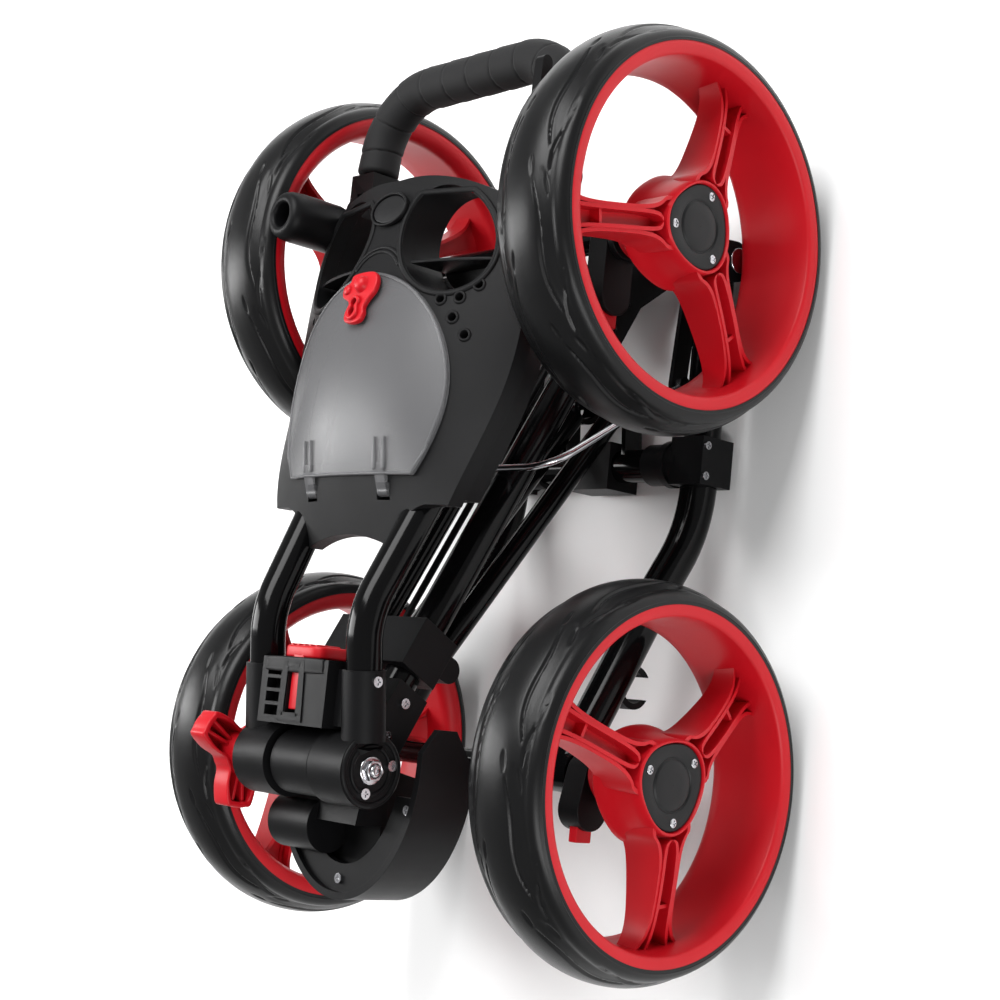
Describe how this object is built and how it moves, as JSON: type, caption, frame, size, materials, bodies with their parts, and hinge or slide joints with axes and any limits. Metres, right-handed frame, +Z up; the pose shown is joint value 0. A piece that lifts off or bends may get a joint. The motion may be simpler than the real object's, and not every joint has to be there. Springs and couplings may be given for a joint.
{
  "type": "golf push trolley",
  "caption": "Folding four-wheel golf push trolley, folded, with a scorecard console, U-shaped foam grip, upper bag cradle, wire bag loop and quick-release wheels.",
  "frame": {"origin": "centre of the footprint, on the floor that the four wheels of the folded trolley stand on", "axes": "+Y towards the front wheels and the grip, +Z up, X across the trolley along the axles"},
  "size_m": [0.4032, 0.64, 0.3062],
  "materials": {
    "gloss_black_tube": "gloss",
    "black_plastic": "matte",
    "console_plastic": "fine matte texture",
    "cap_plastic": "satin",
    "black_rubber": "matte",
    "foam": "soft matte",
    "tyre": "soft sheen",
    "red_plastic": "satin gloss",
    "window_plastic": "translucent smoked",
    "steel": "bright"
  },
  "bodies": {
    "frame": {"beam_tubes": "gloss_black_tube", "head_bracket": "black_plastic", "bag_cradle": "black_plastic", "cradle_pads": "black_rubber", "front_bracket": "black_plastic", "fold_pin": "steel", "frame_screws": "steel", "brake_cable": "black_plastic"},
    "handle": {"handle_yoke": "black_plastic", "lock_housing": "black_plastic", "handle_tube_left": "gloss_black_tube", "handle_tube_right": "gloss_black_tube", "console_shell": "console_plastic", "console_tray": "console_plastic", "accessory_socket": "black_plastic", "handle_screws": "steel", "pivot_bolt": "steel"},
    "lock": {"lock_slider": "red_plastic"},
    "knob": {"tension_knob": "red_plastic"},
    "grip": {"grip_bar": "gloss_black_tube", "foam_grip": "foam", "grip_hubs": "black_plastic"},
    "brake": {"brake_lever": "black_plastic"},
    "lid": {"lid_window": "window_plastic"},
    "latch": {"lid_latch": "red_plastic"},
    "fork": {"fork_plates": "black_plastic", "front_axle": "gloss_black_tube", "front_hub_blocks": "black_plastic"},
    "legs": {"leg_rail_left": "gloss_black_tube", "leg_rail_right": "gloss_black_tube", "rail_clamps": "black_plastic", "crossbar": "gloss_black_tube", "saddle_clamp": "black_plastic", "rear_axle": "gloss_black_tube", "rear_hub_blocks": "black_plastic", "storage_clip": "black_plastic", "leg_screws": "steel"},
    "slider": {"beam_slider": "black_plastic"},
    "strut_pair": {"struts": "gloss_black_tube"},
    "loop": {"bag_loop": "steel"},
    "rear_right_wheel": {"rear_right_wheel_tyre": "tyre", "rear_right_wheel_rim": "red_plastic", "rear_right_wheel_hub_cap": "cap_plastic", "rear_right_wheel_cap_screws": "steel"},
    "rear_right_release_body": {"rear_right_release": "red_plastic"},
    "rear_left_wheel": {"rear_left_wheel_tyre": "tyre", "rear_left_wheel_rim": "red_plastic", "rear_left_wheel_hub_cap": "cap_plastic", "rear_left_wheel_cap_screws": "steel"},
    "rear_left_release_body": {"rear_left_release": "red_plastic"},
    "front_right_wheel": {"front_right_wheel_tyre": "tyre", "front_right_wheel_rim": "red_plastic", "front_right_wheel_hub_cap": "cap_plastic", "front_right_wheel_cap_screws": "steel"},
    "front_right_release_body": {"front_right_release": "red_plastic"},
    "front_left_wheel": {"front_left_wheel_tyre": "tyre", "front_left_wheel_rim": "red_plastic", "front_left_wheel_hub_cap": "cap_plastic", "front_left_wheel_cap_screws": "steel"},
    "front_left_release_body": {"front_left_release": "red_plastic"}
  },
  "joints": [
    {"name": "handle_fold", "type": "hinge", "parent": "frame", "child": "handle", "pos_m": [0, -0.198, 0.268], "axis": [1, 0, 0], "range_deg": [0, 150]},
    {"name": "knob_turn", "type": "hinge", "parent": "handle", "child": "knob", "pos_m": [-0.088, -0.198, 0.268], "axis": [-1, 0, 0], "continuous": true},
    {"name": "lock_pull", "type": "slide", "parent": "handle", "child": "lock", "axis": [0, 1, 0], "range_m": [0, 0.006], "stiffness_N_per_m": 300, "springref_m": -0.002},
    {"name": "grip_tilt", "type": "hinge", "parent": "handle", "child": "grip", "pos_m": [0, 0.212, 0.195], "axis": [1, 0, 0], "range_deg": [0, 45]},
    {"name": "brake_squeeze", "type": "hinge", "parent": "grip", "child": "brake", "pos_m": [0.1, 0.233, 0.217], "axis": [-1, 0, 0], "range_deg": [0, 5], "stiffness_Nm_per_rad": 2, "springref_deg": -11.46},
    {"name": "lid_open", "type": "hinge", "parent": "handle", "child": "lid", "pos_m": [0, -0.014, 0.263], "axis": [1, 0, 0], "range_deg": [0, 100]},
    {"name": "latch_turn", "type": "hinge", "parent": "lid", "child": "latch", "pos_m": [0, 0.122, 0.26901], "axis": [0, 0.1866, 0.9824], "range_deg": [0, 90]},
    {"name": "legs_unfold", "type": "hinge", "parent": "frame", "child": "legs", "pos_m": [0, 0.191, 0.023], "axis": [1, 0, 0], "range_deg": [0, 50]},
    {"name": "fork_unfold", "type": "hinge", "parent": "frame", "child": "fork", "pos_m": [0, 0.191, 0.023], "axis": [-1, 0, 0], "range_deg": [0, 115.1]},
    {"name": "slider_travel", "type": "slide", "parent": "frame", "child": "slider", "axis": [0, 0.8725, -0.4886], "range_m": [0, 0.0764]},
    {"name": "strut_swing", "type": "hinge", "parent": "slider", "child": "strut_pair", "pos_m": [0, -0.128, 0.195], "axis": [1, 0, 0], "range_deg": [-13, 0]},
    {"name": "loop_swing", "type": "hinge", "parent": "frame", "child": "loop", "pos_m": [0, 0.1, 0.03], "axis": [-1, 0, 0], "range_deg": [0, 61]},
    {"name": "rear_right_wheel_spin", "type": "hinge", "parent": "legs", "child": "rear_right_wheel", "pos_m": [0.16925, -0.188, 0.132], "axis": [1, 0, 0], "continuous": true},
    {"name": "rear_right_release_press", "type": "slide", "parent": "legs", "child": "rear_right_release_body", "axis": [0, 1, 0], "range_m": [0, 0.003], "stiffness_N_per_m": 500, "springref_m": -0.001},
    {"name": "rear_left_wheel_spin", "type": "hinge", "parent": "legs", "child": "rear_left_wheel", "pos_m": [-0.16925, -0.188, 0.132], "axis": [1, 0, 0], "continuous": true},
    {"name": "rear_left_release_press", "type": "slide", "parent": "legs", "child": "rear_left_release_body", "axis": [0, 1, 0], "range_m": [0, 0.003], "stiffness_N_per_m": 500, "springref_m": -0.001},
    {"name": "front_right_wheel_spin", "type": "hinge", "parent": "fork", "child": "front_right_wheel", "pos_m": [0.15595, 0.18, 0.1385], "axis": [1, 0, 0], "continuous": true},
    {"name": "front_right_release_press", "type": "slide", "parent": "fork", "child": "front_right_release_body", "axis": [0, 1, 0], "range_m": [0, 0.003], "stiffness_N_per_m": 500, "springref_m": -0.001},
    {"name": "front_left_wheel_spin", "type": "hinge", "parent": "fork", "child": "front_left_wheel", "pos_m": [-0.15595, 0.18, 0.1385], "axis": [1, 0, 0], "continuous": true},
    {"name": "front_left_release_press", "type": "slide", "parent": "fork", "child": "front_left_release_body", "axis": [0, 1, 0], "range_m": [0, 0.003], "stiffness_N_per_m": 500, "springref_m": -0.001}
  ],
  "couplings": [
    {"joint": "fork_unfold", "follows": "legs_unfold", "ratio": 2.3},
    {"joint": "slider_travel", "follows": "legs_unfold", "m_per_rad": 0.08732},
    {"joint": "strut_swing", "follows": "legs_unfold", "ratio": -0.25919}
  ]
}
